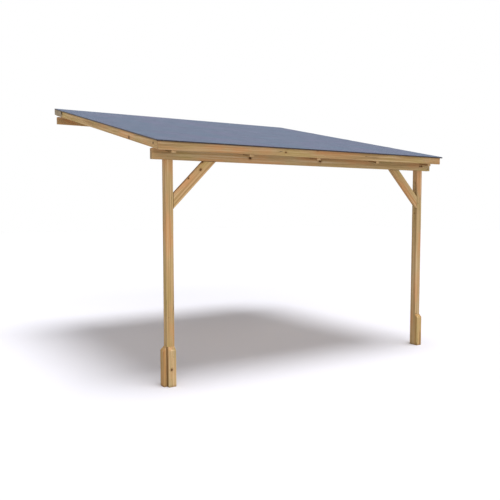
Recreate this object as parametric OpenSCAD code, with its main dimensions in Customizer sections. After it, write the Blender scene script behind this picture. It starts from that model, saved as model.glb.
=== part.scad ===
// Lean-to garden gazebo: an open timber frame with two front posts, bolted to a house wall
// along its high side. One slope of boards and mineral felt falls from the wall to the front.
// Millimetres. The origin is the centre of the wall plate's back face, +X runs along the
// wall, +Y points into the wall and +Z up. The ground is ground_z below the origin.

/* [Frame] */
// Width over the outer faces of the two posts
frame_w = 3200; // [2400:10:4800]
// Distance from the wall to the front face of the posts
frame_depth = 3040; // [2000:10:3800]
// Height of the front beam's underside above the ground
head_h = 2015; // [1800:5:2600]
// How far the beam and the wall plate run past the posts' outer faces
beam_overhang = 125; // [0:5:125]

/* [Posts] */
// Side of the square posts
post_size = 72; // [60:1:120]
// Thickness of the foot boards
foot_board_t = 35; // [20:1:50]
// Height of the foot boards
foot_board_h = 360; // [150:5:600]

/* [Beam and braces] */
// Thickness of the front beam
beam_t = 45; // [35:1:55]
// Height of the front beam
beam_h = 95; // [80:1:150]
// Thickness of the braces
brace_t = 35; // [30:1:60]
// Width of a brace, across its face
brace_w = 95; // [60:1:140]
// How far a brace's outer edge reaches along the beam and down the post
brace_reach = 432; // [300:1:700]

/* [Wall plate] */
// Thickness of the wall plate
plate_t = 45; // [35:1:75]
// Height of the wall plate
plate_h = 88; // [80:1:150]
// Diameter of the holes for the wall bolts
bolt_hole_d = 12; // [8:1:16]
// Number of wall bolts
bolt_n = 6; // [4:1:12]
// Distance from the plate's end to the first bolt
bolt_end = 225; // [60:5:400]

/* [Rafters] */
// Slope of the roof in degrees
pitch = 12; // [8:0.5:18]
// Width of a rafter
rafter_w = 45; // [35:1:60]
// Depth of a rafter, square to the slope
rafter_d = 95; // [90:1:150]

/* [Edge boards] */
// Distance from the posts' front face to the fascia's front face
eaves_overhang = 145; // [80:5:300]
// Distance from a post's outer face to the barge board's outer face
side_overhang = 130; // [100:5:300]
// Thickness of the fascia and barge boards
board_t = 20; // [15:1:30]
// Width of the fascia and barge boards
board_w = 70; // [60:1:80]
// Gap between the front beam and the barge boards that pass over it
barge_over_beam = 4; // [2:0.5:10]
// Gap between the wall plate and the barge boards that pass over it
barge_over_plate = 13; // [2:0.5:15]

/* [Roof covering] */
// Thickness of the roof boards
deck_t = 12; // [10:1:22]
// How far the roof boards run past the fascia and the barge boards
deck_lip = 15; // [5:1:40]
// Thickness of the felt
felt_t = 3; // [2:0.5:5]
// Lap of each felt strip over the one below
felt_lap = 75; // [50:5:150]
// How far the felt's top corners hang below the roof boards, over the barge boards' ends
felt_tab_drop = 60; // [20:5:65]
// Length of these corners along the slope
felt_tab_w = 290; // [50:10:400]

/* [Hidden] */

timber = "#b48f5f";
shaded_timber = "#94714a";
felt_blue = "#7d879c";

// clearance between a post's rear tongue and the rafter above it
tongue_gap = 8;
rafter_n = 5;
felt_n = 4;

front_y = -frame_depth;
beam_back_y = front_y + beam_t;
post_x = frame_w / 2 - post_size / 2;
post_inner_x = frame_w / 2 - post_size;
beam_len = frame_w + 2 * beam_overhang;
roof_w = frame_w + 2 * side_overhang;
fascia_y = front_y - eaves_overhang;
rafter_pitch_x = (frame_w - rafter_w) / (rafter_n - 1);
bolt_pitch_x = (beam_len - 2 * bolt_end) / (bolt_n - 1);

// the rafters are notched so far that the barge boards clear the beam and the plate
rafter_below_barge = (rafter_d - board_w) / cos(pitch);
beam_seat = rafter_below_barge - barge_over_beam;
plate_seat = rafter_below_barge - barge_over_plate;

// heights: the plate's centre is at zero, and the rest hangs from it
plate_top = plate_h / 2;
rafter_rise = (frame_depth - plate_t) * tan(pitch);
rafter_front_z = plate_top - plate_seat - rafter_rise;
beam_top = rafter_front_z + beam_seat;
beam_bottom = beam_top - beam_h;
ground_z = beam_bottom - head_h;
tongue_top = rafter_front_z + beam_t * tan(pitch) - tongue_gap;

// height of the rafters' lower and upper edges at a distance y from the wall
function rafter_bottom(y) = rafter_front_z + (y - front_y) * tan(pitch);
function deck_bottom(y) = rafter_bottom(y) + rafter_d / cos(pitch);

// the roof's own plane: y runs up the slope from above the posts' front face, z square to it
slope_top = frame_depth / cos(pitch);
slope_foot = -(eaves_overhang + deck_lip) / cos(pitch);
deck_w = roof_w + 2 * deck_lip;
felt_w = deck_w + 2 * felt_t;
felt_foot = slope_foot - felt_t;
felt_course = (slope_top - felt_foot - felt_lap) / felt_n;

module on_slope() {
    translate([0, front_y, deck_bottom(front_y)]) rotate([pitch, 0, 0]) children();
}

// extrudes an outline drawn in the Y-Z plane along X, centred on x
module side_profile(points, x, width) {
    translate([x - width / 2, 0, 0]) rotate([90, 0, 90]) linear_extrude(height = width) polygon(points);
}

// horizontal timber along the wall, drilled for the wall bolts; the rafters rest on it
module wall_plate() {
    color(shaded_timber) difference() {
        translate([-beam_len / 2, -plate_t, -plate_h / 2]) cube([beam_len, plate_t, plate_h]);
        for (i = [0:bolt_n - 1])
            translate([-beam_len / 2 + bolt_end + i * bolt_pitch_x, 0, 0])
                rotate([90, 0, 0]) cylinder(h = 4 * plate_t, d = bolt_hole_d, center = true, $fn = 32);
    }
}

// beam on the two posts, flush with their front faces
module front_beam() {
    color(shaded_timber) translate([-beam_len / 2, front_y, beam_bottom]) cube([beam_len, beam_t, beam_h]);
}

// post halved at the top, which leaves a tongue behind the beam
module post(side) {
    post_back_y = front_y + post_size;
    color(timber) side_profile([
        [front_y, ground_z], [post_back_y, ground_z],
        [post_back_y, tongue_top], [beam_back_y, tongue_top],
        [beam_back_y, beam_bottom], [front_y, beam_bottom]
    ], side * post_x, post_size);
}

// foot board as wide as the post, with its top bevelled at 45 degrees to shed water
module foot_board() {
    rotate([90, 0, 90]) linear_extrude(height = post_size)
        polygon([[0, 0], [-foot_board_t, 0], [-foot_board_t, foot_board_h - foot_board_t], [0, foot_board_h]]);
}

module foot_board_front(side) {
    color(timber) translate([side * post_x - post_size / 2, front_y, ground_z]) foot_board();
}

module foot_board_outer(side) {
    far_corner = side < 0 ? front_y + post_size : front_y;
    color(shaded_timber) translate([side * frame_w / 2, far_corner, ground_z])
        rotate([0, 0, side * 90]) foot_board();
}

// 45-degree brace between a post and the beam, flush with the front of both
module brace(side) {
    inner_reach = brace_reach - brace_w * sqrt(2);
    color(timber) translate([side * post_inner_x, front_y + brace_t, beam_bottom]) rotate([90, 0, 0])
        linear_extrude(height = brace_t)
            polygon([
                [0, -inner_reach], [0, -brace_reach],
                [-side * brace_reach, 0], [-side * inner_reach, 0]
            ]);
}

// rafter notched over the beam and the wall plate, cut plumb at both ends
module rafter(i) {
    tail_y = fascia_y + board_t;
    color(timber) side_profile([
        [tail_y, rafter_bottom(tail_y)],
        [front_y, rafter_bottom(front_y)], [front_y, beam_top],
        [beam_back_y, beam_top], [beam_back_y, rafter_bottom(beam_back_y)],
        [-plate_t, rafter_bottom(-plate_t)], [-plate_t, plate_top],
        [0, plate_top], [0, deck_bottom(0)],
        [tail_y, deck_bottom(tail_y)]
    ], -frame_w / 2 + rafter_w / 2 + (i - 1) * rafter_pitch_x, rafter_w);
}

// upright board across the rafters' ends, its top edge bevelled to the slope
module front_fascia() {
    back_y = fascia_y + board_t;
    foot_z = deck_bottom(fascia_y) - board_w;
    color(timber) side_profile([
        [fascia_y, foot_z], [back_y, foot_z],
        [back_y, deck_bottom(back_y)], [fascia_y, deck_bottom(fascia_y)]
    ], 0, roof_w);
}

// sloping board under each gable edge of the roof boards, butted behind the fascia
module barge_board(side) {
    start_y = fascia_y + board_t;
    drop = board_w / cos(pitch);
    color(timber) side_profile([
        [start_y, deck_bottom(start_y) - drop], [0, deck_bottom(0) - drop],
        [0, deck_bottom(0)], [start_y, deck_bottom(start_y)]
    ], side * (roof_w - board_t) / 2, board_t);
}

// tongued and grooved boards along the roof, taken together as one sheet
module roof_deck() {
    color(shaded_timber) on_slope() translate([-deck_w / 2, slope_foot, 0])
        cube([deck_w, slope_top - slope_foot, deck_t]);
}

// corner of the top strip, left long to hang beside the barge board's end and cut plumb at the wall
module felt_tab(side) {
    slant = felt_tab_drop * tan(pitch);
    side_profile([
        [slope_top - felt_tab_w, deck_t], [slope_top - felt_tab_w, 0],
        [slope_top - felt_tab_w - slant, -felt_tab_drop], [slope_top - slant, -felt_tab_drop],
        [slope_top, 0], [slope_top, deck_t]
    ], side * (felt_w - felt_t) / 2, felt_t);
}

// one strip of felt along the roof, lapped over the strip below and turned down at its edges
module felt_strip(i) {
    foot = felt_foot + (i - 1) * felt_course;
    head = foot + felt_course + felt_lap;
    lap_end = i > 1 ? foot + felt_lap : foot + felt_t;
    top = deck_t + felt_t;
    color(felt_blue) on_slope() union() {
        if (i > 1)
            side_profile([
                [foot, top], [lap_end, top], [lap_end, deck_t], [head, deck_t],
                [head, top], [lap_end + felt_t, top], [lap_end, top + felt_t], [foot, top + felt_t]
            ], 0, felt_w);
        else
            side_profile([[foot, 0], [lap_end, 0], [lap_end, deck_t], [head, deck_t], [head, top], [foot, top]],
                0, felt_w);
        for (side = [-1, 1]) {
            side_profile([[lap_end, 0], [head, 0], [head, deck_t], [lap_end, deck_t]],
                side * (felt_w - felt_t) / 2, felt_t);
            if (i == felt_n) felt_tab(side);
        }
    }
}

wall_plate();
front_beam();
post(-1);  // post_left
post(1);  // post_right
foot_board_front(-1);  // foot_board_left_front
foot_board_outer(-1);  // foot_board_left_outer
foot_board_front(1);  // foot_board_right_front
foot_board_outer(1);  // foot_board_right_outer
brace(-1);  // brace_left
brace(1);  // brace_right
rafter(1);  // rafter_1
rafter(2);  // rafter_2
rafter(3);  // rafter_3
rafter(4);  // rafter_4
rafter(5);  // rafter_5
front_fascia();
barge_board(-1);  // barge_board_left
barge_board(1);  // barge_board_right
roof_deck();
felt_strip(1);  // felt_strip_1
felt_strip(2);  // felt_strip_2
felt_strip(3);  // felt_strip_3
felt_strip(4);  // felt_strip_4
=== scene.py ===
import math

import bmesh
import bpy
from mathutils import Matrix, Vector, noise


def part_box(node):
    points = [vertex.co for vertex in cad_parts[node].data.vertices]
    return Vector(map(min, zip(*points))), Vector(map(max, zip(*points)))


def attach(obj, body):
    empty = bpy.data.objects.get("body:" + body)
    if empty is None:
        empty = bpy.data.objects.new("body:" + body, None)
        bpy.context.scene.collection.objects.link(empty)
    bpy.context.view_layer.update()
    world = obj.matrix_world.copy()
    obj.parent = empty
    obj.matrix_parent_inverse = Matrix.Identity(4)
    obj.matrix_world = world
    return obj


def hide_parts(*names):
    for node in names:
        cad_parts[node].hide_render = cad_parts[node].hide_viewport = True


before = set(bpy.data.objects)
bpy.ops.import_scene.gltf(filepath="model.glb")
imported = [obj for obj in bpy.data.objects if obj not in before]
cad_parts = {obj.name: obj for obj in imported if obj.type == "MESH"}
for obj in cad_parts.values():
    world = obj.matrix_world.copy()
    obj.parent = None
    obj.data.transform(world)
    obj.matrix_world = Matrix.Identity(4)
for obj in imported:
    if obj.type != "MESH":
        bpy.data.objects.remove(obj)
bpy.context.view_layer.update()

# ---------------------------------------------------------------------------------------------
# Posts: two 72 mm square softwood posts, pressure treated to a yellow-brown, planed, with eased
# arrises. Each is halved at the top, and its tongue stands behind the front beam.
# ---------------------------------------------------------------------------------------------
MM = 0.001
WIDTH = Vector((1, 0, 0))
DEPTH = Vector((0, 1, 0))
UPRIGHT = Vector((0, 0, 1))
WELD = 0.01 * MM                     # corners closer than this are one corner
FLAT = math.radians(1)               # faces that turn less than this are one face
ARRIS = 2.5 * MM                     # rounding that the planer leaves on a timber's edges
ARRIS_TURN = math.radians(30)        # an edge that turns less than this has no arris to round
RING_SPACING = 5.0 * MM              # growth rings of fast-grown redwood
RING_WANDER = 13 * MM                # how far the rings wander in and out
WANDER_CELL = (1.3, 0.16, 0.16)      # the length and widths over which they do so
RING_SWELL = 11 * MM                 # how far the rings bow out round a knot
BRANCH_CELL = (0.42, 0.085, 0.085)   # the trunk has one branch in about this length and widths
BRANCH_RADII = (0.6 * MM, 7.5 * MM)  # its thinnest and thickest branch
KNOT_LEAN = (0.75, 1.0, 1.0)         # knots are drawn out a little along the grain
CHECK_CELL = (0.85, 0.045, 0.045)    # the length and widths over which a drying check wanders
CHECK_WIDTH = 0.004                  # half of a check's own width, as a share of those
CHECKED_CELL = (0.55, 0.22, 0.22)    # length and widths of the stretches with checks or with none
LATEWOOD_RISE = 0.12                 # how far latewood stands up after planing, in millimetres
FIBRE_RISE = 0.22                    # and a single fibre
CHECK_DEPTH = 1.1                    # and how deep a check is, also in millimetres
FOOT_DARK_HEIGHT = 0.024                  # height over which a timber grows darker towards the ground
FOOT_DARK_SHARE = 0.5                      # how dark it is there, as a share
JOINT_SHADE_AND_DIRT = 0.9                    # and how dark a joint gets, as painted shade with some dirt
BOARD_SHIFT = (9.0, 0.0, 0.12)       # how far apart in their trunk two roof boards may have grown
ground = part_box("post_left")[0].z

# broad patches, streaks and fibres: length and width in metres, where in its noise each starts
# and is full, its share there, and its colour
FIGURE = [
    (0.40, 0.12, 0.53, 0.68, 0.55, "#b39a58"),     # olive patches where the salts lie thick
    (0.40, 0.12, 0.49, 0.34, 0.70, "#d0925f"),     # redder heartwood
    (0.80, 0.016, 0.50, 0.76, 0.70, "#8f6a3c"),    # dark streaks
    (0.80, 0.016, 0.47, 0.26, 0.60, "#e6caa0"),    # pale streaks
    (0.045, 0.0011, 0.52, 0.75, 0.35, "#86643c"),  # fibres
]


def linear(hex_colour):
    """An sRGB hex colour as linear red, green, blue and alpha."""
    shares = [int(hex_colour[i:i + 2], 16) / 255 for i in (1, 3, 5)]
    return tuple(c / 12.92 if c <= 0.04045 else ((c + 0.055) / 1.055) ** 2.4 for c in shares) + (1.0,)


def add(tree, kind, inputs=(), output=0, **settings):
    """Adds a node with its settings and its inputs, each a value or a link. Returns one output."""
    node = tree.nodes.new(kind)
    for name, value in settings.items():
        setattr(node, name, value)
    for key, value in (inputs.items() if isinstance(inputs, dict) else enumerate(inputs)):
        if isinstance(value, bpy.types.NodeSocket):
            tree.links.new(value, node.inputs[key])
        else:
            node.inputs[key].default_value = value
    return node.outputs[output] if node.outputs else None


def bare_tree(owner):
    """The emptied node tree of a material or of the world."""
    owner.use_nodes = True
    owner.node_tree.nodes.clear()
    return owner.node_tree


def set_stops(ramp, stops):
    """Gives a colour ramp its stops, each a place and a hex colour."""
    while len(ramp.elements) < len(stops):
        ramp.elements.new(0.5)
    for element, (place, colour) in zip(ramp.elements, stops):
        element.position = place
        element.color = linear(colour)


def treated_softwood(name, run, pith, stretch, knots=(), tone=(1, 1, 1), early="#c9a676",
                     late="#a67f4d", sawn="#7c5c38", joints=(), dust_and_top_shade=0.0, boards=False):
    """Pressure-treated redwood, cut along run from a trunk whose pith passes through a point.

    Pale earlywood and darker latewood rings lie round the pith, so long faces show straight or
    arched figure and cut ends show arcs. The salts leave it yellow-brown with olive patches, and
    each timber takes them up a little differently, which is its tone in red, green and blue.
    Its stretch is how far up the trunk it was cut, so that no two timbers share a figure. A shaded
    joint is a point, the axes that count and its reach; the wood is darkened there as painted shade,
    with some dirt. Top shade is a share, painted on faces that look up where the roof shades them.
    Roof boards each take their own stretch, from their number.
    """
    def toned(hex_colour):
        return tuple(c * t for c, t in zip(linear(hex_colour), tone)) + (1.0,)

    material = bpy.data.materials.new(name)
    tree = bare_tree(material)

    # the trunk's own axes: x runs up the trunk, y and z are measured from its pith
    turn = WIDTH.rotation_difference(run)
    root = pith - run * stretch
    place = add(tree, "ShaderNodeTexCoord", output="Object")
    trunk = add(tree, "ShaderNodeMapping", {
        "Vector": place, "Location": root, "Rotation": turn.to_euler()}, vector_type="TEXTURE")
    if boards:
        number = add(tree, "ShaderNodeAttribute", output="Fac", attribute_name="board")
        shift = add(tree, "ShaderNodeCombineXYZ", [number, 0.0, number])
        shift = add(tree, "ShaderNodeVectorMath", [shift, BOARD_SHIFT], operation="MULTIPLY")
        trunk = add(tree, "ShaderNodeVectorMath", [trunk, shift], operation="ADD")

    # knots: distance to the nearest one, counted in its own radii
    near = add(tree, "ShaderNodeVectorMath", [trunk, KNOT_LEAN], operation="MULTIPLY")
    branches = add(tree, "ShaderNodeVectorMath", [trunk, BRANCH_CELL], operation="DIVIDE")
    branches = add(tree, "ShaderNodeTexVoronoi", {"Vector": branches, "Scale": 1.0}, "Position")
    size = add(tree, "ShaderNodeSeparateColor", [branches.node.outputs["Color"]])
    size = add(tree, "ShaderNodeMapRange", [size, 0.78, 1.0, *BRANCH_RADII])
    spacing = tuple(a * b for a, b in zip(BRANCH_CELL, KNOT_LEAN))
    branches = add(tree, "ShaderNodeVectorMath", [branches, spacing], operation="MULTIPLY")
    knot = add(tree, "ShaderNodeVectorMath", [near, branches], "Value", operation="DISTANCE")
    knot = add(tree, "ShaderNodeMath", [knot, size], operation="DIVIDE")
    for at, radius in knots:
        local = turn.inverted() @ (Vector(at) - root)
        local = Vector(a * b for a, b in zip(local, KNOT_LEAN))
        gap = add(tree, "ShaderNodeVectorMath", [near, local], "Value", operation="DISTANCE")
        gap = add(tree, "ShaderNodeMath", [gap, radius], operation="DIVIDE")
        knot = add(tree, "ShaderNodeMath", [knot, gap], operation="MINIMUM")

    # growth rings, which wander up the trunk and swell round each knot
    cross = add(tree, "ShaderNodeVectorMath", [trunk, (0.0, 1.0, 1.0)], operation="MULTIPLY")
    reach = add(tree, "ShaderNodeVectorMath", [cross], "Value", operation="LENGTH")
    wander = add(tree, "ShaderNodeVectorMath", [trunk, WANDER_CELL], operation="DIVIDE")
    wander = add(tree, "ShaderNodeTexNoise", {"Vector": wander, "Scale": 1.0, "Detail": 2.0})
    wander = add(tree, "ShaderNodeMapRange", [wander, 0.0, 1.0, -RING_WANDER, RING_WANDER])
    swell = add(tree, "ShaderNodeMapRange", [knot, 3.4, 0.6, 0.0, RING_SWELL],
                interpolation_type="SMOOTHSTEP")
    reach = add(tree, "ShaderNodeMath", [reach, wander], operation="ADD")
    reach = add(tree, "ShaderNodeMath", [reach, swell], operation="ADD")
    rings = add(tree, "ShaderNodeMath", [reach, RING_SPACING], operation="DIVIDE")
    year = add(tree, "ShaderNodeMath", [rings], operation="FRACT")
    year_number = add(tree, "ShaderNodeMath", [rings], operation="FLOOR")
    strength = add(tree, "ShaderNodeTexWhiteNoise", {"W": year_number}, "Value",
                   noise_dimensions="1D")
    strength = add(tree, "ShaderNodeMapRange", [strength, 0.0, 1.0, 0.45, 1.0])
    summer = add(tree, "ShaderNodeMapRange", [year, 0.25, 0.85, 0.0, 1.0],
                 interpolation_type="SMOOTHSTEP")
    ending = add(tree, "ShaderNodeMapRange", [year, 1.0, 0.93, 0.0, 1.0],
                 interpolation_type="SMOOTHSTEP")
    summer = add(tree, "ShaderNodeMath", [summer, ending], operation="MULTIPLY")
    summer = add(tree, "ShaderNodeMath", [summer, strength], operation="MULTIPLY")
    colour = add(tree, "ShaderNodeMix", {0: summer, 6: toned(early), 7: toned(late)}, 2,
                 data_type="RGBA")

    for length, width, start, end, share, tint in FIGURE:
        drawn = add(tree, "ShaderNodeVectorMath", [trunk, (length, width, width)], operation="DIVIDE")
        drawn = add(tree, "ShaderNodeTexNoise", {"Vector": drawn, "Scale": 1.0, "Detail": 2.0})
        much = add(tree, "ShaderNodeMapRange", [drawn, start, end, 0.0, share])
        colour = add(tree, "ShaderNodeMix", {0: much, 6: colour, 7: toned(tint)}, 2, data_type="RGBA")
    fibres = drawn

    # each knot has a brown heart, a dark rim of bark and a darker halo of dense grain
    halo = add(tree, "ShaderNodeMapRange", [knot, 2.6, 1.0, 0.0, 0.55])
    colour = add(tree, "ShaderNodeMix", {0: halo, 6: colour, 7: linear("#9b6a34")}, 2, data_type="RGBA")
    heart = add(tree, "ShaderNodeValToRGB", [knot])
    set_stops(heart.node.color_ramp, [
        (0.0, "#5d3a12"), (0.55, "#6e461a"), (0.8, "#4a2b0c"), (1.0, "#2a1705")])
    inside = add(tree, "ShaderNodeMapRange", [knot, 1.12, 0.98, 0.0, 1.0])
    colour = add(tree, "ShaderNodeMix", {0: inside, 6: colour, 7: heart}, 2, data_type="RGBA")

    # drying checks: thin dark splits along the grain, in some stretches and not in end grain
    facing = add(tree, "ShaderNodeVectorMath", [place.node.outputs["Normal"], run], "Value",
                 operation="DOT_PRODUCT")
    facing = add(tree, "ShaderNodeMath", [facing], operation="ABSOLUTE")
    side_grain = add(tree, "ShaderNodeMapRange", [facing, 0.35, 0.6, 1.0, 0.0])
    split = add(tree, "ShaderNodeVectorMath", [trunk, CHECK_CELL], operation="DIVIDE")
    split = add(tree, "ShaderNodeTexNoise", {"Vector": split, "Scale": 1.0, "Detail": 1.0})
    split = add(tree, "ShaderNodeMath", [split, 0.5, CHECK_WIDTH], operation="COMPARE")
    where = add(tree, "ShaderNodeVectorMath", [trunk, CHECKED_CELL], operation="DIVIDE")
    where = add(tree, "ShaderNodeTexNoise", {"Vector": where, "Scale": 1.0, "Detail": 0.0})
    where = add(tree, "ShaderNodeMapRange", [where, 0.58, 0.62, 0.0, 0.8])
    where = add(tree, "ShaderNodeMath", [where, side_grain], operation="MULTIPLY")
    check = add(tree, "ShaderNodeMath", [split, where], operation="MULTIPLY")
    colour = add(tree, "ShaderNodeMix", {0: check, 6: colour, 7: linear("#4c351d")}, 2, data_type="RGBA")

    # cut ends drink more of the salts and dry darker, unless they were sawn on site
    cut_end = add(tree, "ShaderNodeMapRange", [facing, 0.80, 0.97, 0.0, 0.42])
    colour = add(tree, "ShaderNodeMix", {0: cut_end, 6: colour, 7: linear(sawn)}, 2, data_type="RGBA")

    # timbers grow darker towards the ground; at the joints they are darkened as painted shade, with
    # some dirt, and faces that look up are darkened as painted shade from the roof above
    height = add(tree, "ShaderNodeSeparateXYZ", [place], 2)
    darkened = add(tree, "ShaderNodeMapRange", [height, ground, ground + FOOT_DARK_HEIGHT, FOOT_DARK_SHARE, 0.0])
    for at, across, reach in joints:
        away = add(tree, "ShaderNodeVectorMath", [place, at], operation="SUBTRACT")
        away = add(tree, "ShaderNodeVectorMath", [away, across], operation="MULTIPLY")
        away = add(tree, "ShaderNodeVectorMath", [away], "Value", operation="LENGTH")
        away = add(tree, "ShaderNodeMapRange", [away, 0.2 * reach, reach, JOINT_SHADE_AND_DIRT, 0.0])
        darkened = add(tree, "ShaderNodeMath", [darkened, away], operation="MAXIMUM")
    if dust_and_top_shade:
        upward = add(tree, "ShaderNodeSeparateXYZ", [place.node.outputs["Normal"]], 2)
        shaded_top = add(tree, "ShaderNodeMapRange", [upward, 0.50, 0.68, 0.0, dust_and_top_shade])
        darkened = add(tree, "ShaderNodeMath", [darkened, shaded_top], operation="MAXIMUM")
    colour = add(tree, "ShaderNodeMix", {0: darkened, 6: colour, 7: linear("#5c3d18")}, 2, data_type="RGBA")

    # planed faces are dull and faintly ribbed: latewood stands up, and checks are cut in
    relief = add(tree, "ShaderNodeMath", [summer, LATEWOOD_RISE], operation="MULTIPLY")
    relief = add(tree, "ShaderNodeMath", [fibres, FIBRE_RISE, relief], operation="MULTIPLY_ADD")
    relief = add(tree, "ShaderNodeMath", [check, -CHECK_DEPTH, relief], operation="MULTIPLY_ADD")
    relief = add(tree, "ShaderNodeBump", {"Height": relief, "Strength": 1.0, "Distance": MM})
    roughness = add(tree, "ShaderNodeMapRange", [fibres, 0.3, 0.7, 0.62, 0.78])
    skin = add(tree, "ShaderNodeBsdfPrincipled", {
        "Base Color": colour, "Roughness": roughness, "Normal": relief,
        "IOR": 1.5, "Specular IOR Level": 0.35})
    add(tree, "ShaderNodeOutputMaterial", {"Surface": skin})
    return material


def placed(name, data):
    """A new object in the scene, at the origin and unturned."""
    thing = bpy.data.objects.new(name, data)
    bpy.context.scene.collection.objects.link(thing)
    return thing


def made_piece(name, shape, material):
    """Turns a finished shape into a piece with one finish."""
    mesh = bpy.data.meshes.new(name)
    shape.to_mesh(mesh)
    shape.free()
    mesh.materials.append(material)
    return placed(name, mesh)


def eased_timber(name, node, material):
    """A CAD timber with its faces made whole again, its arrises rounded, and its finish."""
    shape = bmesh.new()
    shape.from_mesh(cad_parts[node].data)
    bmesh.ops.remove_doubles(shape, verts=shape.verts, dist=WELD)
    bmesh.ops.dissolve_limit(shape, angle_limit=FLAT, verts=shape.verts, edges=shape.edges)
    arrises = [e for e in shape.edges
               if e.calc_length() > 4 * ARRIS and e.calc_face_angle(0) > ARRIS_TURN]
    bmesh.ops.bevel(shape, geom=arrises, offset=ARRIS, offset_type="OFFSET", segments=2,
                    profile=0.5, affect="EDGES", clamp_overlap=True)
    timber = made_piece(name, shape, material)
    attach(timber, "root")
    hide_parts(node)
    return timber


def middle(node):
    """The centre of a CAD node's box."""
    low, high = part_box(node)
    return (low + high) / 2


def knots_at(corner, places):
    """Knots at these distances from a timber's corner, each with its radius in millimetres."""
    return [(corner + Vector(place), radius * MM) for *place, radius in places]


# for each post, where the pith lies from its middle, its stretch, its knots and its tone
POSTS = {
    "left": ((-0.055, 0.030, 0), 17.6, [(0.020, 0, 0.62, 2.5)], (1.05, 1.08, 1.06)),
    "right": ((0.048, 0.038, 0), 26.3, [(0, 0.021, 1.74, 6), (0, 0.039, 1.53, 5)], (1.04, 1.10, 1.17)),
}
for side, (heart, stretch, knots, tone) in POSTS.items():
    post = f"post_{side}"
    pith = middle(post) + Vector(heart)
    knots = knots_at(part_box(post)[0], knots)
    wood = treated_softwood(f"treated_{post}", UPRIGHT, pith, stretch, knots, tone)
    eased_timber(f"{post}_timber", post, wood)

# ---------------------------------------------------------------------------------------------
# Foot boards: short lengths of 72 x 35 mm softwood, screwed to the front and the outer face of
# each post where it meets the ground. Their tops are bevelled to throw off rain.
# ---------------------------------------------------------------------------------------------
FOOT_HEARTS = {"front": Vector((0.02, 0.075, 0)), "outer": Vector((0.06, 0.01, 0))}
FOOT_CREVICE_SHADE = 15 * MM     # painted shade reaches this far from the crevice where two boards and a post meet

# for each board, its stretch, its knots and its tone
FOOT_BOARDS = {
    ("left", "front"): (28.8, [(0.027, 0, 0.158, 8)], (1.08, 1.24, 1.34)),
    ("left", "outer"): (28.5, [], (0.97, 0.91, 0.79)),
    ("right", "front"): (33.3, [], (1.0, 1.10, 0.98)),
    ("right", "outer"): (36.4, [], (0.9, 0.9, 0.9)),
}
for (side, face), (stretch, knots, tone) in FOOT_BOARDS.items():
    board = f"foot_board_{side}_{face}"
    post_low, post_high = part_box(f"post_{side}")
    corner = Vector((post_low.x if side == "left" else post_high.x, post_low.y, 0))
    pith = middle(board) + FOOT_HEARTS[face]
    knots = knots_at(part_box(board)[0], knots)
    # the crevice between the boards and the post is darkened as painted shade
    wood = treated_softwood(f"treated_{board}", UPRIGHT, pith, stretch, knots, tone,
                            joints=[(corner, WIDTH + DEPTH, FOOT_CREVICE_SHADE)])
    eased_timber(f"{board}_timber", board, wood)

# ---------------------------------------------------------------------------------------------
# Front beam: a 95 x 45 mm timber on edge that sits on the posts' shoulders, flush with their
# fronts, and carries the rafters.
# ---------------------------------------------------------------------------------------------
low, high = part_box("front_beam")
# these four knots are painted shadows: dark spots on the beam's face just below three of the rafter tails,
# which shade it
knots = knots_at(Vector((0, low.y, low.z)), [
    (-0.730, 0, 0.046, 11), (0.111, 0, 0.052, 12), (1.560, 0, 0.050, 7), (1.588, 0, 0.051, 9)])
pith = middle("front_beam") + Vector((0, 0.03, -0.07))
wood = treated_softwood("treated_front_beam", WIDTH, pith, 33.9, knots, (1.0, 1.07, 1.13))
eased_timber("front_beam_timber", "front_beam", wood)

# ---------------------------------------------------------------------------------------------
# Braces: 95 x 35 mm lengths mitred at both ends, which stiffen the corner between each post and
# the beam. They are screwed through their lower edges.
# ---------------------------------------------------------------------------------------------
MITRE_SHADE_AND_DIRT = 7 * MM     # painted contact shade, with some dirt, reaches this far from a mitre
# painted shade on the braces' faces that look up, which lie in the roof's shade
BRACE_TOP_SHADE = 0.4

# for each brace, which way it leans, its stretch, its knots from its top corner, and its tone
BRACE_KNOTS = [(-0.160, 0, -0.0785, 9), (-0.140, 0, -0.0075, 8), (-0.281, 0, -0.159, 6)]
BRACES = {"left": (1, 51.3, BRACE_KNOTS, (1.15, 1.13, 1.13)), "right": (-1, 82.5, [], (0.98, 1.0, 0.98))}
for side, (lean, stretch, knots, tone) in BRACES.items():
    brace = f"brace_{side}"
    run = Vector((lean, 0, 1)).normalized()
    pith = middle(brace) + Vector((0, 0.05, 0))
    low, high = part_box(brace)
    knots = knots_at(Vector((high.x, low.y, high.z)), knots)
    mitres = [(low if side == "left" else high, WIDTH, MITRE_SHADE_AND_DIRT), (high, UPRIGHT, MITRE_SHADE_AND_DIRT)]
    wood = treated_softwood(f"treated_{brace}", run, pith, stretch, knots, tone,
                            joints=mitres, dust_and_top_shade=BRACE_TOP_SHADE)
    eased_timber(f"{brace}_timber", brace, wood)

# ---------------------------------------------------------------------------------------------
# Wall plate: an 88 x 45 mm timber along the house wall, which carries the rafters' upper ends.
# It is drilled for the bolts that hold it to the wall.
# ---------------------------------------------------------------------------------------------
pith = middle("wall_plate") + Vector((0, 0.05, 0.04))
wood = treated_softwood("treated_wall_plate", WIDTH, pith, 48)
eased_timber("wall_plate_timber", "wall_plate", wood)

# ---------------------------------------------------------------------------------------------
# Rafters: five 95 x 45 mm timbers on edge, notched over the beam and the wall plate and cut
# plumb behind the fascia, where their tails show below it.
# ---------------------------------------------------------------------------------------------
RAFTER_COUNT = 5
roof_normal = max(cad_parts["roof_deck"].data.polygons, key=lambda p: p.area).normal
pitch = math.atan(abs(roof_normal.y / roof_normal.z))
UP_SLOPE = Vector((0, math.cos(pitch), math.sin(pitch)))
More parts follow.
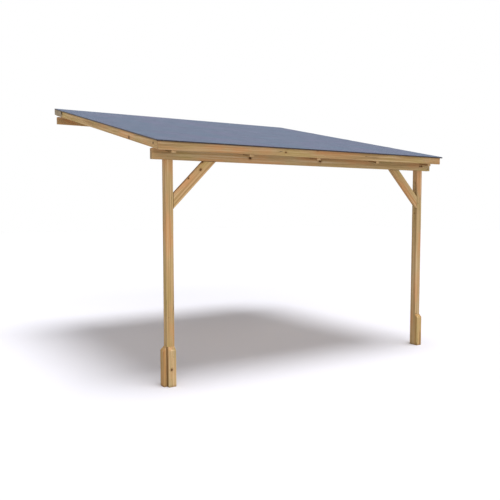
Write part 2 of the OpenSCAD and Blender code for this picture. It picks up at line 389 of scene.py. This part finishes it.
# the rafters' darker tone is painted shade, for they lie in the roof's shade
RAFTER_SHADE_TONE = (0.72, 0.70, 0.66)
FRESH_CUT_AND_HIGHLIGHT = "#e2c496"     # their tails were sawn to length on site and are pale, and lighter still as a painted highlight on ends that face the front

# each has its pith a little further across than the last, above or below, and its own stretch
for i in range(1, RAFTER_COUNT + 1):
    rafter = f"rafter_{i}"
    pith = middle(rafter) + Vector((0.012 * (i - 3), 0, -0.060 if i % 2 else 0.065))
    wood = treated_softwood(f"treated_{rafter}", UP_SLOPE, pith, 50 + 7.3 * i, tone=RAFTER_SHADE_TONE,
                            sawn=FRESH_CUT_AND_HIGHLIGHT)
    eased_timber(f"{rafter}_timber", rafter, wood)

# ---------------------------------------------------------------------------------------------
# Fascia and barge boards: 70 x 20 mm planed boards that close the front and both gable edges
# of the roof, under the drip of the felt.
# ---------------------------------------------------------------------------------------------
low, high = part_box("front_fascia")
knots = knots_at(Vector((0, low.y, low.z)), [(-0.418, 0, 0.034, 7), (-0.034, 0, 0.072, 8)])
pith = middle("front_fascia") + Vector((0, 0.05, 0.02))
wood = treated_softwood("treated_front_fascia", WIDTH, pith, 109.1, knots, (0.94, 0.95, 0.96),
                        sawn="#a98458")
eased_timber("front_fascia_board", "front_fascia", wood)

# for each barge board, its stretch and its knots
BARGE_TONE = (1.20, 1.22, 1.21)
BARGE_BOARDS = {
    "left": (121.3, [(0, 0.649, 0.1597, 11), (0, 0.085, 0.0592, 7.5)]),
    "right": (128.3, []),
}
for side, (stretch, knots) in BARGE_BOARDS.items():
    board = f"barge_board_{side}"
    pith = middle(board) + Vector((0.05, 0, 0.01))
    knots = knots_at(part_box(board)[0], knots)
    wood = treated_softwood(f"treated_{board}", UP_SLOPE, pith, stretch, knots, BARGE_TONE)
    eased_timber(f"{board}_board", board, wood)

# ---------------------------------------------------------------------------------------------
# Roof boards: 12 mm tongued and grooved boards nailed across the rafters. Their lower corners
# are chamfered, so that each joint shows as a V from below.
# ---------------------------------------------------------------------------------------------
BOARD_COVER = 0.1             # what each board covers, near enough
JOINT_GAP = 0.6 * MM
V_CUT = 4.0 * MM
TONGUE = 5.5 * MM
TONGUE_PLACE = (0.40, 0.72)   # where the tongue starts and ends, as shares of the thickness
slope_axes = Matrix.Rotation(pitch, 4, "X")


def box_on_slope(node):
    """Lowest and highest corner of a CAD node, measured along the roof's own axes."""
    places = [slope_axes.inverted() @ v.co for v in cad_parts[node].data.vertices]
    return [Vector(pick(p[k] for p in places) for k in range(3)) for pick in (min, max)]


def node_tree(name, sizes):
    """A new geometry node tree with its geometry in and out and its named inputs."""
    tree = bpy.data.node_groups.new(name, "GeometryNodeTree")
    tree.interface.new_socket("Geometry", in_out="OUTPUT", socket_type="NodeSocketGeometry")
    tree.interface.new_socket("Geometry", in_out="INPUT", socket_type="NodeSocketGeometry")
    for size, kind in sizes.items():
        tree.interface.new_socket(size, in_out="INPUT", socket_type=f"NodeSocket{kind}")
    return tree


def grown(name, base_mesh, tree, sizes, material):
    """Runs a node tree on a base mesh and keeps what it makes as a plain mesh."""
    piece = placed(name, base_mesh)
    modifier = piece.modifiers.new(name, "NODES")
    modifier.node_group = tree
    sockets = {s.name: s.identifier for s in tree.interface.items_tree if s.in_out == "INPUT"}
    for size, value in {**sizes, "Finish": material}.items():
        modifier[sockets[size]] = value
    depsgraph = bpy.context.evaluated_depsgraph_get()
    mesh = bpy.data.meshes.new_from_object(piece.evaluated_get(depsgraph), depsgraph=depsgraph)
    piece.modifiers.clear()
    piece.data = mesh
    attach(piece, "root")
    return piece


deck_low, deck_high = box_on_slope("roof_deck")
deck_size = deck_high - deck_low
board_count = round(deck_size.y / BOARD_COVER)
cover = (deck_size.y - TONGUE) / board_count
face = cover - JOINT_GAP
tongue_low, tongue_high = (share * deck_size.z for share in TONGUE_PLACE)
outline = [
    (V_CUT, 0), (face - V_CUT, 0), (face, V_CUT), (face, tongue_low),
    (face + TONGUE, tongue_low), (face + TONGUE, tongue_high), (face, tongue_high),
    (face, deck_size.z), (0, deck_size.z), (0, tongue_high), (TONGUE + JOINT_GAP, tongue_high),
    (TONGUE + JOINT_GAP, tongue_low), (0, tongue_low), (0, V_CUT)]
outline_mesh = bpy.data.meshes.new("board_outline")
outline_mesh.from_pydata([(0, y, z) for y, z in outline], [], [range(len(outline))])

boards = node_tree("tongued_boards", {
    "Length": "Float", "Cover": "Float", "Count": "Int", "Foot": "Vector", "Slope": "Vector",
    "Seed": "Int", "Finish": "Material"})
given = add(boards, "NodeGroupInput").node.outputs
along = add(boards, "ShaderNodeCombineXYZ", {"X": given["Length"]})
body = add(boards, "GeometryNodeExtrudeMesh", {
    "Mesh": given["Geometry"], "Offset": along, "Offset Scale": 1.0})
end = add(boards, "GeometryNodeFlipFaces", {"Mesh": given["Geometry"]})
board = add(boards, "GeometryNodeJoinGeometry", [body])
boards.links.new(end, board.node.inputs[0])
board = add(boards, "GeometryNodeMergeByDistance", {"Geometry": board, "Distance": WELD})
step = add(boards, "ShaderNodeCombineXYZ", {"Y": given["Cover"]})
places = add(boards, "GeometryNodeMeshLine", {"Count": given["Count"], "Offset": step}, mode="OFFSET")
laid = add(boards, "GeometryNodeInstanceOnPoints", {"Points": places, "Instance": board})
number = add(boards, "FunctionNodeRandomValue", {2: 0.0, 3: 1.0, "Seed": given["Seed"]}, 1,
             data_type="FLOAT")
laid = add(boards, "GeometryNodeStoreNamedAttribute", {
    "Geometry": laid, "Name": "board", "Value": number}, data_type="FLOAT", domain="INSTANCE")
laid = add(boards, "GeometryNodeTransform", {
    "Geometry": laid, "Translation": given["Foot"], "Rotation": given["Slope"]})
laid = add(boards, "GeometryNodeRealizeInstances", {"Geometry": laid})
laid = add(boards, "GeometryNodeSetMaterial", {"Geometry": laid, "Material": given["Finish"]})
add(boards, "NodeGroupOutput", {"Geometry": laid})

wood = treated_softwood("treated_roof_boards", WIDTH, middle("roof_deck") + Vector((0, 0, 0.05)), 130,
                        early="#c9b595", late="#a7916d", boards=True)
roof_boards = grown("roof_boards", outline_mesh, boards, {
    "Length": deck_size.x, "Cover": cover, "Count": board_count, "Foot": slope_axes @ deck_low,
    "Slope": slope_axes.to_euler(), "Seed": 4}, wood)
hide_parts("roof_deck")

# ---------------------------------------------------------------------------------------------
# Felt: four strips of bitumen felt with a blue-grey slate face, each lapped 75 mm over the one
# below, and turned down over the front and the gable edges of the boards as a drip. The top
# strip's corners are left long and hang down at the wall.
# ---------------------------------------------------------------------------------------------
FELT_COUNT = 4
FELT_THICK = 1.0 * MM
NAIL_PROUD = 0.8 * MM         # room that the felt leaves outside it for the clout nails' heads
FOLD = 4.0 * MM               # radius at which felt folds over an edge
CELL = 0.04                   # the mesh's squares
FELT_WELD = 0.05 * MM         # points of the mesh closer than this are one point
LAP_RAMP = 0.06               # the length over which a strip comes down off the one below
LAP_STEP = 1.1 * FELT_THICK   # a strip lies this far above the one below, where it laps it
PRESSED_STEP = 0.35 * MM      # but its lower edge is pressed down and stands up only by this
EDGE_WANDER = 1.5 * MM        # how far the cut of its lower edge strays from a straight line
EDGE_WAVES = 1.7              # strays in a metre
TAB = 0.29                    # length along the slope of a corner that hangs at the wall
TAB_CURL = 13 * MM            # how far the foot of its front edge curls in to the barge board
WAVE = 0.7 * MM               # how far the felt sinks between the boards' high spots
WAVES_ACROSS = 2.3            # high spots in a metre across the roof
WAVES_UP = 4.0                # and up its slope
GRIT = 1.3 * MM               # slate granules
strips = [box_on_slope(f"felt_strip_{i}") for i in range(1, FELT_COUNT + 1)]
felt_low, felt_high = strips[0]
roof_top = felt_high.z


def mineral_felt():
    """Slate-faced felt: matt blue-grey grit bedded in black bitumen, with faint cloudy mottling.

    Single granules are too fine to show from far off, so coarser clusters are drawn as well.
    """
    material = bpy.data.materials.new("mineral_felt")
    tree = bare_tree(material)
    place = add(tree, "ShaderNodeTexCoord", output="Object")
    colour = linear("#687186")

    # clouds: size in metres, where in its noise each starts and is full, its share, its colour
    mottling = [(0.45, 0.50, 0.64, 0.60, "#627489"), (0.45, 0.50, 0.36, 0.60, "#73718c"),
                (0.12, 0.50, 0.68, 0.45, "#5e667b"), (0.12, 0.50, 0.33, 0.45, "#788094"),
                (0.012, 0.50, 0.72, 0.40, "#585f72"), (0.012, 0.50, 0.30, 0.40, "#7d859a")]
    for size, start, end, share, tint in mottling:
        cloud = add(tree, "ShaderNodeTexNoise", {"Vector": place, "Scale": 1 / size, "Detail": 3.0})
        much = add(tree, "ShaderNodeMapRange", [cloud, start, end, 0.0, share])
        colour = add(tree, "ShaderNodeMix", {0: much, 6: colour, 7: linear(tint)}, 2, data_type="RGBA")
    grit = add(tree, "ShaderNodeTexVoronoi", {"Vector": place, "Scale": 1 / GRIT}, "Distance")
    shade = add(tree, "ShaderNodeSeparateColor", [grit.node.outputs["Color"]])
    much = add(tree, "ShaderNodeMapRange", [shade, 0.6, 1.0, 0.0, 0.55])
    colour = add(tree, "ShaderNodeMix", {0: much, 6: colour, 7: linear("#909cb2")}, 2, data_type="RGBA")
    bitumen = add(tree, "ShaderNodeMapRange", [grit, 0.60, 0.90, 0.0, 0.5])
    colour = add(tree, "ShaderNodeMix", {0: bitumen, 6: colour, 7: linear("#2c2f38")}, 2, data_type="RGBA")

    # the turned-down edges are dark brown, darkest in front, while the corners that hang lower are
    # brown with dust
    level = add(tree, "ShaderNodeVectorMath", [place, slope_axes.col[2].xyz], "Value",
                operation="DOT_PRODUCT")
    drip_darkening = add(tree, "ShaderNodeMapRange", [level, roof_top - 2 * MM, roof_top - 6 * MM, 0.0, 0.94])
    dusty = add(tree, "ShaderNodeMapRange", [level, felt_low.z + 3 * MM, felt_low.z - 3 * MM, 0.0, 1.0])
    patchy = add(tree, "ShaderNodeMapRange", [cloud, 0.35, 0.65, 0.0, 1.0])
    dust_and_top_shade = add(tree, "ShaderNodeMix", {0: patchy, 6: linear("#9c8b72"), 7: linear("#baa98e")}, 2,
               data_type="RGBA")
    behind = add(tree, "ShaderNodeVectorMath", [place, UP_SLOPE], "Value", operation="DOT_PRODUCT")
    behind = add(tree, "ShaderNodeMapRange", [
        behind, felt_low.y + 4 * MM, felt_low.y + 12 * MM, 0.0, 1.0])
    drip_tint = add(tree, "ShaderNodeMix", {0: behind, 6: linear("#3a2e25"), 7: linear("#6b5e51")}, 2,
               data_type="RGBA")
    drip_tint = add(tree, "ShaderNodeMix", {0: dusty, 6: drip_tint, 7: dust_and_top_shade}, 2, data_type="RGBA")
    colour = add(tree, "ShaderNodeMix", {0: drip_darkening, 6: colour, 7: drip_tint}, 2, data_type="RGBA")
    relief = add(tree, "ShaderNodeMapRange", [grit, 0.0, 0.8, 0.5, 0.0])
    relief = add(tree, "ShaderNodeBump", {"Height": relief, "Strength": 1.0, "Distance": MM})
    skin = add(tree, "ShaderNodeBsdfPrincipled", {
        "Base Color": colour, "Roughness": 0.93, "Normal": relief, "IOR": 1.5, "Specular IOR Level": 0.2})
    add(tree, "ShaderNodeOutputMaterial", {"Surface": skin})
    return material


def folded(start, end, drop_start, drop_end):
    """Places along an edge-to-edge line, as pairs of where and how far below the top.

    Where an end is turned down, the line goes round a fold and down by that drop.
    """
    turns = [math.radians(a) for a in (0, 22.5, 45, 67.5, 90)]
    first, last = [], []
    if drop_start:
        first = [(start, drop_start), (start, FOLD)]
        first += [(start + FOLD - FOLD * math.cos(a), FOLD - FOLD * math.sin(a)) for a in turns[1:]]
    if drop_end:
        last = [(end - FOLD + FOLD * math.sin(a), FOLD - FOLD * math.cos(a)) for a in turns[:-1]]
        last += [(end, FOLD), (end, drop_end)]
    low = first[-1][0] if first else start
    high = last[0][0] if last else end
    count = math.ceil((high - low) / CELL)
    flat = [(low + (high - low) * k / count, 0.0) for k in range(count + 1)]
    return first[:-1] + flat + last[1:]


felt = mineral_felt()
drop = felt_high.z - felt_low.z
tab_drop = felt_low.z - strips[-1][0].z
for i, (low, high) in enumerate(strips, start=1):
    lap = strips[i - 2][1].y - low.y if i > 1 else 0.0
    next_edge = strips[i][0].y if i < FELT_COUNT else math.inf
    across = folded(low.x + NAIL_PROUD, high.x - NAIL_PROUD, drop, drop)
    down = folded(low.y + NAIL_PROUD, high.y, drop, 0.0) if i == 1 else folded(low.y, high.y, 0.0, 0.0)
    if lap:
        ramp = [low.y + lap + LAP_RAMP * k / 4 for k in range(5)]
        down = [p for p in down if not ramp[0] - CELL / 2 < p[0] < ramp[-1] + CELL / 2]
        down += [(s, 0.0) for s in ramp]
    if i == FELT_COUNT:
        down.append((high.y - TAB, 0.0))
    down.sort(key=lambda place: (place[0], -place[1]))

    # rows of points from the lower edge up, each at s on the slope. A strip rises over the one
    # below, and under the one above it tucks in its folded edges.
    shape = bmesh.new()
    grid = []
    for s, sink_s in down:
        pressed = lap and s == low.y
        rise = LAP_STEP * min(1.0, max(0.0, (low.y + lap + LAP_RAMP - s) / LAP_RAMP)) if lap else 0.0
        rise = PRESSED_STEP if pressed else rise
        tuck = LAP_STEP * min(1.0, max(0.0, (s - next_edge + LAP_RAMP) / LAP_RAMP))
        row = []
        for x, sink_x in across:
            wave = WAVE * (0.5 + 0.5 * noise.noise(Vector((x * WAVES_ACROSS, s * WAVES_UP, 0.0))))
            stray = EDGE_WANDER * (1 + noise.noise(Vector((x * EDGE_WAVES, i, 0)))) if pressed else 0.0
            height = roof_top + rise - (max(sink_x, sink_s) or wave)
            point = Vector((x * (1 - tuck / high.x), s + stray, height))
            row.append(shape.verts.new(slope_axes @ point))
        # at the wall the top strip's ends hang plumb, and curl in at their front edge
        if i == FELT_COUNT and s >= high.y - TAB:
            curl = TAB_CURL * max(0.0, 1 - (s - high.y + TAB) / CELL)
            hangs = [Vector((inward * curl, -tab_drop * math.tan(pitch), -tab_drop)) for inward in (1, -1)]
            ends = zip((row[0], row[-1]), hangs)
            tips = [shape.verts.new(end.co + slope_axes.to_3x3() @ hang) for end, hang in ends]
            row = [tips[0], *row, tips[1]]
        else:
            row = [row[0], *row, row[-1]]
        grid.append(row)

    # squares between each row and the next
    for lower, upper in zip(grid, grid[1:]):
        for a, b, c, d in zip(lower, lower[1:], upper[1:], upper):
            if a != b and c != d:
                shape.faces.new((a, b, c, d))
    bmesh.ops.remove_doubles(shape, verts=shape.verts, dist=FELT_WELD)
    bmesh.ops.recalc_face_normals(shape, faces=shape.faces)
    strip = made_piece(f"felt_strip_{i}_sheet", shape, felt)
    thicken = strip.modifiers.new("thickness", "SOLIDIFY")
    thicken.thickness = FELT_THICK
    thicken.offset = -1
    thicken.use_even_offset = True
    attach(strip, "root")
    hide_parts(f"felt_strip_{i}")

# ---------------------------------------------------------------------------------------------
# Fixings: yellow-passivated countersunk wood screws in the frame, the fascia and the foot
# boards, and galvanised clout nails with flat heads along the felt's turned-down edges.
# ---------------------------------------------------------------------------------------------
SCREW_HEAD = 4.5 * MM
FASCIA_SCREWS = (0.018, 0.052)                        # heights above the fascia's lower edge
BEAM_SCREWS = ((-0.017, 0.025), (0.017, 0.070))       # at each post: across from its middle, and up
FOOT_SCREWS = ((-0.012, 0.070), (0.012, 0.270))       # in each foot board: the same
BRACE_SCREW_END = 0.045                               # from the brace's ends, across and up
BRACE_SCREW_PAIR = (-0.011, 0.011)                    # from the middle of its thickness
CLOUT_HEAD = 4.0 * MM
CLOUT_SPACING = 0.15
CLOUT_MARGIN = 0.06                                   # from the corners to the last nails
CLOUT_LEVEL = 0.55                                    # share of the drip that is below the nails
MOTTLE = 1.5 * MM                                     # patches of spangle or of passivation
heads = node_tree("fixing_heads", {
    "Head Radius": "Float", "Proud": "Float", "Recess Share": "Float", "Recess Depth": "Float",
    "Sides": "Int", "Seed": "Int", "Finish": "Material"})
given = add(heads, "NodeGroupInput").node.outputs
depth = add(heads, "ShaderNodeMath", [given["Proud"], 2.0], operation="MULTIPLY")
disc = add(heads, "GeometryNodeMeshCylinder", {
    "Vertices": given["Sides"], "Radius": given["Head Radius"], "Depth": depth})
rim = add(heads, "GeometryNodeExtrudeMesh", {
    "Mesh": disc, "Selection": disc.node.outputs["Top"], "Offset Scale": 0.0})
top = rim.node.outputs["Top"]
rim = add(heads, "GeometryNodeScaleElements", {
    "Geometry": rim, "Selection": top, "Scale": given["Recess Share"]})
sunk = add(heads, "ShaderNodeMath", [given["Recess Depth"], -1.0], operation="MULTIPLY")
head = add(heads, "GeometryNodeExtrudeMesh", {"Mesh": rim, "Selection": top, "Offset Scale": sunk})
facing = add(heads, "GeometryNodeInputNamedAttribute", {"Name": "facing"}, data_type="FLOAT_VECTOR")
aim = add(heads, "FunctionNodeAlignRotationToVector", {"Vector": facing}, axis="Z")
driven = add(heads, "GeometryNodeInstanceOnPoints", {
    "Points": given["Geometry"], "Instance": head, "Rotation": aim})
spin = add(heads, "FunctionNodeRandomValue", {0: (0, 0, 0), 1: (0, 0, math.tau), "Seed": given["Seed"]},
           data_type="FLOAT_VECTOR")
driven = add(heads, "GeometryNodeRotateInstances", {
    "Instances": driven, "Rotation": spin, "Local Space": True})
driven = add(heads, "GeometryNodeRealizeInstances", {"Geometry": driven})
driven = add(heads, "GeometryNodeSetMaterial", {"Geometry": driven, "Material": given["Finish"]})
add(heads, "NodeGroupOutput", {"Geometry": driven})


def zinc(name, colour, dulled):
    """Zinc on steel: metal with a fine mottle, which is duller where it has weathered."""
    material = bpy.data.materials.new(name)
    tree = bare_tree(material)
    place = add(tree, "ShaderNodeTexCoord", output="Object")
    mottle = add(tree, "ShaderNodeTexNoise", {"Vector": place, "Scale": 1 / MOTTLE, "Detail": 3.0})
    much = add(tree, "ShaderNodeMapRange", [mottle, 0.4, 0.65, 0.0, 0.7])
    shade = add(tree, "ShaderNodeMix", {0: much, 6: linear(colour), 7: linear(dulled)}, 2, data_type="RGBA")
    rough = add(tree, "ShaderNodeMapRange", [mottle, 0.3, 0.7, 0.35, 0.6])
    skin = add(tree, "ShaderNodeBsdfPrincipled", {"Base Color": shade, "Metallic": 1.0, "Roughness": rough})
    add(tree, "ShaderNodeOutputMaterial", {"Surface": skin})
    return material


def fixings(name, places, sizes, material):
    """Fixings' heads at these places, each a point on a face and the way the face looks."""
    points = bpy.data.meshes.new(name)
    points.from_pydata([point for point, _ in places], [], [])
    outward = points.attributes.new("facing", "FLOAT_VECTOR", "POINT")
    outward.data.foreach_set("vector", [k for _, way in places for k in way.normalized()])
    return grown(name, points, heads, sizes, material)


FRONT = Vector((0, -1, 0))
SIDES = {"left": Vector((-1, 0, 0)), "right": Vector((1, 0, 0))}
places = []
low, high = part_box("front_fascia")
lines = [middle(f"rafter_{i}").x for i in range(1, RAFTER_COUNT + 1)]
lines += [middle(f"barge_board_{side}").x for side in SIDES]
places += [(Vector((x, low.y, low.z + z)), FRONT) for x in lines for z in FASCIA_SCREWS]
low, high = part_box("front_beam")
for side, way in SIDES.items():
    post = middle(f"post_{side}")
    places += [(Vector((post.x + x, low.y, low.z + z)), FRONT) for x, z in BEAM_SCREWS]
    foot = middle(f"foot_board_{side}_front")
    foot_low, foot_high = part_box(f"foot_board_{side}_front")
    places += [(Vector((foot.x + x, foot_low.y, foot_low.z + z)), FRONT) for x, z in FOOT_SCREWS]
    foot = middle(f"foot_board_{side}_outer")
    foot_low, foot_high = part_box(f"foot_board_{side}_outer")
    outer = foot_low.x if side == "left" else foot_high.x
    places += [(Vector((outer, foot.y + y, foot_low.z + z)), way) for y, z in FOOT_SCREWS]
    brace_low, brace_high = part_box(f"brace_{side}")
    start = brace_low.x if side == "left" else brace_high.x
    lower_end = Vector((start, middle(f"brace_{side}").y, brace_low.z))
    for reach in (BRACE_SCREW_END, brace_high.z - brace_low.z - BRACE_SCREW_END):
        on_edge = lower_end + (UPRIGHT - way) * reach
        places += [(on_edge + DEPTH * y, -way - UPRIGHT) for y in BRACE_SCREW_PAIR]
fixings("wood_screws", places, {
    "Head Radius": SCREW_HEAD, "Proud": 0.4 * MM, "Recess Share": 0.5, "Recess Depth": 1.2 * MM,
    "Sides": 18, "Seed": 7}, zinc("yellow_passivated_zinc", "#b9a06a", "#8a7449"))

places = []
low, high = strips[0][0], strips[-1][1]
level = felt_low.z + CLOUT_LEVEL * drop
length = high.x - low.x - 2 * CLOUT_MARGIN
count = round(length / CLOUT_SPACING)
for k in range(count + 1):
    x = low.x + CLOUT_MARGIN + k * length / count
    places.append((slope_axes @ Vector((x, low.y + NAIL_PROUD, level)), -UP_SLOPE))
length = high.y - low.y - 2 * CLOUT_MARGIN
count = round(length / CLOUT_SPACING)
for k in range(count + 1):
    y = low.y + CLOUT_MARGIN + k * length / count
    for x, way in ((low.x + NAIL_PROUD, SIDES["left"]), (high.x - NAIL_PROUD, SIDES["right"])):
        places.append((slope_axes @ Vector((x, y, level)), way))
fixings("clout_nails", places, {
    "Head Radius": CLOUT_HEAD, "Proud": 0.5 * MM, "Recess Share": 0.8, "Recess Depth": -0.15 * MM,
    "Sides": 14, "Seed": 8}, zinc("galvanised_zinc", "#6c6d6b", "#4b4844"))

# ---------------------------------------------------------------------------------------------
# Studio: a plain pale floor at ground level, a soft overhead lamp a little to the front right,
# a weak frontal fill, and a white sky that the camera sees as the backdrop.
# ---------------------------------------------------------------------------------------------
FLOOR_HALF = 30.0     # half of its side
floor_corners = [(x * FLOOR_HALF, y * FLOOR_HALF, ground) for x, y in ((-1, -1), (1, -1), (1, 1), (-1, 1))]
floor_mesh = bpy.data.meshes.new("studio_floor")
floor_mesh.from_pydata(floor_corners, [], [range(4)])
floor = placed("studio_floor", floor_mesh)
paper = bpy.data.materials.new("studio_paper")
tree = bare_tree(paper)
seen = add(tree, "ShaderNodeLightPath", output="Is Camera Ray")
shade = add(tree, "ShaderNodeMix", {0: seen, 6: linear("#dedede"), 7: linear("#f7f7ff")}, 2, data_type="RGBA")
skin = add(tree, "ShaderNodeBsdfDiffuse", {"Color": shade})
add(tree, "ShaderNodeOutputMaterial", {"Surface": skin})
floor_mesh.materials.append(paper)

# the sky is weaker as a light than as the backdrop and in the screws' reflections
SKY = 0.345
BACKDROP = 1.0
world = bpy.data.worlds.new("studio_sky")
bpy.context.scene.world = world
tree = bare_tree(world)
ray = add(tree, "ShaderNodeLightPath").node.outputs
direct = add(tree, "ShaderNodeMath", [ray["Is Camera Ray"], ray["Is Glossy Ray"]], operation="MAXIMUM")
strength = add(tree, "ShaderNodeMapRange", [direct, 0.0, 1.0, SKY, BACKDROP])
sky = add(tree, "ShaderNodeBackground", {"Color": (1, 1, 1, 1), "Strength": strength})
add(tree, "ShaderNodeOutputWorld", {"Surface": sky})

# for each lamp, the way to it, its power, and how many degrees wide it looks
LAMPS = {
    "overhead": (Vector((0.085, -0.125, 1)), 2.1, 28),
    "front_fill": (Vector((-0.30, -1.0, 0.38)), 1.05, 60),
}
for name, (toward, power, spread) in LAMPS.items():
    lamp = bpy.data.lights.new(name, "SUN")
    lamp.energy = power
    lamp.angle = math.radians(spread)
    placed(name, lamp).rotation_euler = toward.to_track_quat("Z", "Y").to_euler()

# the camera stands to the left in front, at a person's eye height, and looks a little down
TO_THE_LEFT = 3.8244     # of the middle
IN_FRONT = 4.9283        # of the posts' front faces
EYE_HEIGHT = 1.6017
TILT = 85.97             # degrees up from straight down
TURN = 32.12             # degrees to the right of straight ahead
post_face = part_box("post_left")[0].y
camera_data = bpy.data.cameras.new("camera")
camera_data.lens = 43.99
camera_data.sensor_width = 36
camera = placed("camera", camera_data)
camera.location = (-TO_THE_LEFT, post_face - IN_FRONT, ground + EYE_HEIGHT)
camera.rotation_euler = (math.radians(TILT), 0, -math.radians(TURN))
bpy.context.scene.camera = camera
bpy.context.scene.view_settings.view_transform = "Standard"
